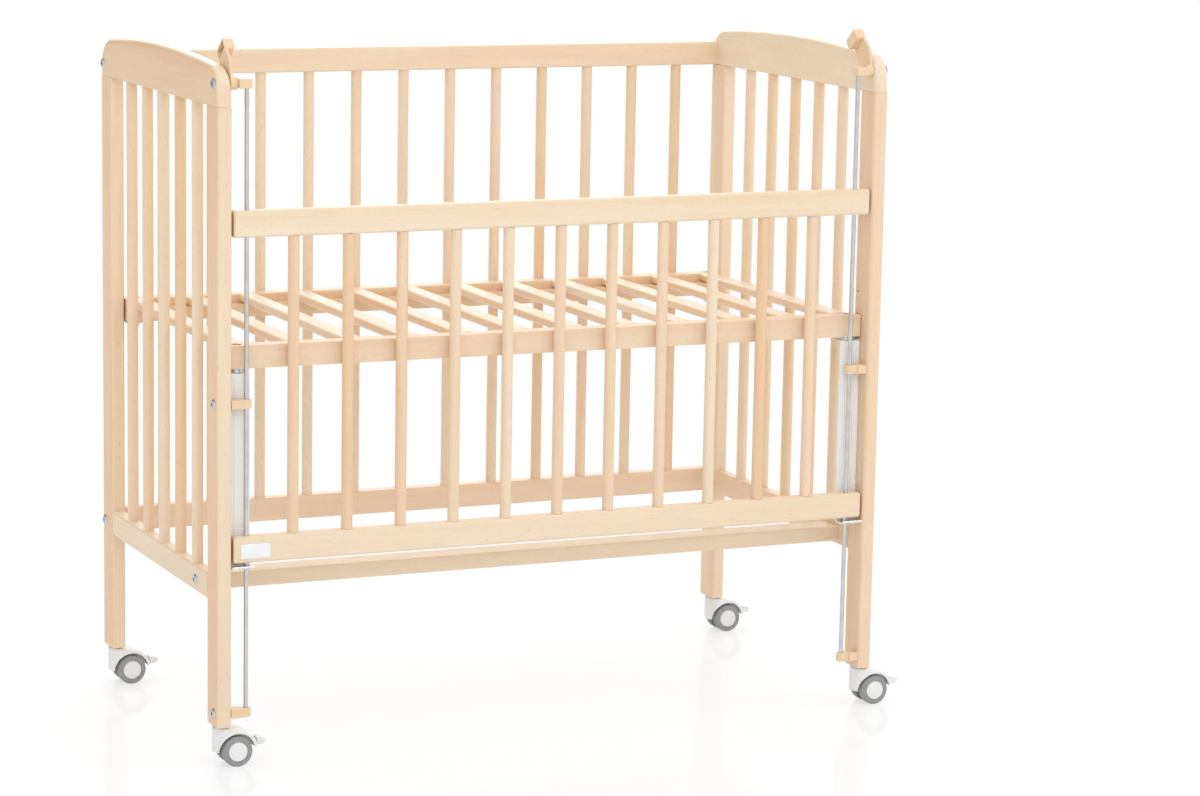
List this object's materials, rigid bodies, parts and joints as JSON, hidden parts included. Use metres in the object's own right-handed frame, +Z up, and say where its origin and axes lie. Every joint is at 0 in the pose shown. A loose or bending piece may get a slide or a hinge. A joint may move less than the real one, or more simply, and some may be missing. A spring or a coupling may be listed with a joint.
{
  "type": "bedside sleeper crib",
  "caption": "Wooden bedside crib with arched ends, upright round bars, a slatted mattress base, a drop side on guide rods and braked twin-wheel casters.",
  "frame": {"origin": "on the floor under the middle of the crib, halfway between the end posts and between the front and back posts", "axes": "+X along the crib to its right end as seen from the drop side, +Y from the drop side to the back, +Z up"},
  "size_m": [1.0135, 0.5089, 0.9436],
  "materials": {
    "beech": "satin lacquered light beech",
    "beige_plastic": "satin",
    "webbing": "woven webbing",
    "steel": "zinc plated",
    "white_plastic": "satin",
    "wheel_rubber": "soft tread"
  },
  "bodies": {
    "frame": {"post_front_left": "beech", "post_front_right": "beech", "post_back_left": "beech", "post_back_right": "beech", "cap_rail_left": "beech", "cap_rail_right": "beech", "end_bottom_rail_left": "beech", "end_bottom_rail_right": "beech", "end_bars_left": "beech", "end_bars_right": "beech", "back_top_rail": "beech", "back_bottom_rail": "beech", "back_bars": "beech", "stretcher": "beech", "base_rail_front": "beech", "base_rail_back": "beech", "base_slats": "beech", "rod_left": "steel", "rod_right": "steel", "top_bracket_left": "beige_plastic", "top_bracket_right": "beige_plastic", "middle_bracket_left": "beige_plastic", "middle_bracket_right": "beige_plastic", "bottom_bracket_left": "beige_plastic", "bottom_bracket_right": "beige_plastic", "strap_left": "webbing", "strap_right": "webbing", "bracket_screws": "steel", "frame_bolts": "steel", "base_studs": "steel", "base_bolts": "steel", "caster_stems": "steel"},
    "gate": {"gate_top_rail": "beech", "gate_bottom_rail": "beech", "gate_bars": "beech"},
    "lever_left": {"lever_left": "beige_plastic"},
    "lever_right": {"lever_right": "beige_plastic"},
    "caster_front_left": {"caster_housing_front_left": "white_plastic", "caster_axle_front_left": "steel"},
    "wheel_outer_front_left": {"wheel_outer_front_left": "wheel_rubber"},
    "wheel_inner_front_left": {"wheel_inner_front_left": "wheel_rubber"},
    "pedal_front_left": {"caster_pedal_front_left": "white_plastic"},
    "caster_front_right": {"caster_housing_front_right": "white_plastic", "caster_axle_front_right": "steel"},
    "wheel_outer_front_right": {"wheel_outer_front_right": "wheel_rubber"},
    "wheel_inner_front_right": {"wheel_inner_front_right": "wheel_rubber"},
    "pedal_front_right": {"caster_pedal_front_right": "white_plastic"},
    "caster_back_left": {"caster_housing_back_left": "white_plastic", "caster_axle_back_left": "steel"},
    "wheel_outer_back_left": {"wheel_outer_back_left": "wheel_rubber"},
    "wheel_inner_back_left": {"wheel_inner_back_left": "wheel_rubber"},
    "pedal_back_left": {"caster_pedal_back_left": "white_plastic"},
    "caster_back_right": {"caster_housing_back_right": "white_plastic", "caster_axle_back_right": "steel"},
    "wheel_outer_back_right": {"wheel_outer_back_right": "wheel_rubber"},
    "wheel_inner_back_right": {"wheel_inner_back_right": "wheel_rubber"},
    "pedal_back_right": {"caster_pedal_back_right": "white_plastic"}
  },
  "joints": [
    {"name": "gate_slide", "type": "slide", "parent": "frame", "child": "gate", "axis": [0, 0, 1], "range_m": [0, 0.14]},
    {"name": "lever_left_swing", "type": "hinge", "parent": "frame", "child": "lever_left", "pos_m": [-0.455, -0.239, 0.8895], "axis": [1, 0, 0], "range_deg": [-5, 35]},
    {"name": "lever_right_swing", "type": "hinge", "parent": "frame", "child": "lever_right", "pos_m": [0.455, -0.239, 0.8895], "axis": [1, 0, 0], "range_deg": [-5, 35]},
    {"name": "swivel_front_left", "type": "hinge", "parent": "frame", "child": "caster_front_left", "pos_m": [-0.47, -0.2325, 0.04], "axis": [0, 0, 1], "continuous": true},
    {"name": "roll_outer_front_left", "type": "hinge", "parent": "caster_front_left", "child": "wheel_outer_front_left", "pos_m": [-0.45, -0.24555, 0.02], "axis": [0, 1, 0], "continuous": true},
    {"name": "roll_inner_front_left", "type": "hinge", "parent": "caster_front_left", "child": "wheel_inner_front_left", "pos_m": [-0.45, -0.21945, 0.02], "axis": [0, 1, 0], "continuous": true},
    {"name": "brake_front_left", "type": "hinge", "parent": "caster_front_left", "child": "pedal_front_left", "pos_m": [-0.434, -0.2325, 0.033], "axis": [0, 1, 0], "range_deg": [0, 15]},
    {"name": "swivel_front_right", "type": "hinge", "parent": "frame", "child": "caster_front_right", "pos_m": [0.47, -0.2325, 0.04], "axis": [0, 0, 1], "continuous": true},
    {"name": "roll_outer_front_right", "type": "hinge", "parent": "caster_front_right", "child": "wheel_outer_front_right", "pos_m": [0.49, -0.24555, 0.02], "axis": [0, 1, 0], "continuous": true},
    {"name": "roll_inner_front_right", "type": "hinge", "parent": "caster_front_right", "child": "wheel_inner_front_right", "pos_m": [0.49, -0.21945, 0.02], "axis": [0, 1, 0], "continuous": true},
    {"name": "brake_front_right", "type": "hinge", "parent": "caster_front_right", "child": "pedal_front_right", "pos_m": [0.506, -0.2325, 0.033], "axis": [0, 1, 0], "range_deg": [0, 15]},
    {"name": "swivel_back_left", "type": "hinge", "parent": "frame", "child": "caster_back_left", "pos_m": [-0.47, 0.2325, 0.04], "axis": [0, 0, 1], "continuous": true},
    {"name": "roll_outer_back_left", "type": "hinge", "parent": "caster_back_left", "child": "wheel_outer_back_left", "pos_m": [-0.45, 0.24555, 0.02], "axis": [0, 1, 0], "continuous": true},
    {"name": "roll_inner_back_left", "type": "hinge", "parent": "caster_back_left", "child": "wheel_inner_back_left", "pos_m": [-0.45, 0.21945, 0.02], "axis": [0, 1, 0], "continuous": true},
    {"name": "brake_back_left", "type": "hinge", "parent": "caster_back_left", "child": "pedal_back_left", "pos_m": [-0.434, 0.2325, 0.033], "axis": [0, 1, 0], "range_deg": [0, 15]},
    {"name": "swivel_back_right", "type": "hinge", "parent": "frame", "child": "caster_back_right", "pos_m": [0.47, 0.2325, 0.04], "axis": [0, 0, 1], "continuous": true},
    {"name": "roll_outer_back_right", "type": "hinge", "parent": "caster_back_right", "child": "wheel_outer_back_right", "pos_m": [0.49, 0.24555, 0.02], "axis": [0, 1, 0], "continuous": true},
    {"name": "roll_inner_back_right", "type": "hinge", "parent": "caster_back_right", "child": "wheel_inner_back_right", "pos_m": [0.49, 0.21945, 0.02], "axis": [0, 1, 0], "continuous": true},
    {"name": "brake_back_right", "type": "hinge", "parent": "caster_back_right", "child": "pedal_back_right", "pos_m": [0.506, 0.2325, 0.033], "axis": [0, 1, 0], "range_deg": [0, 15]}
  ]
}
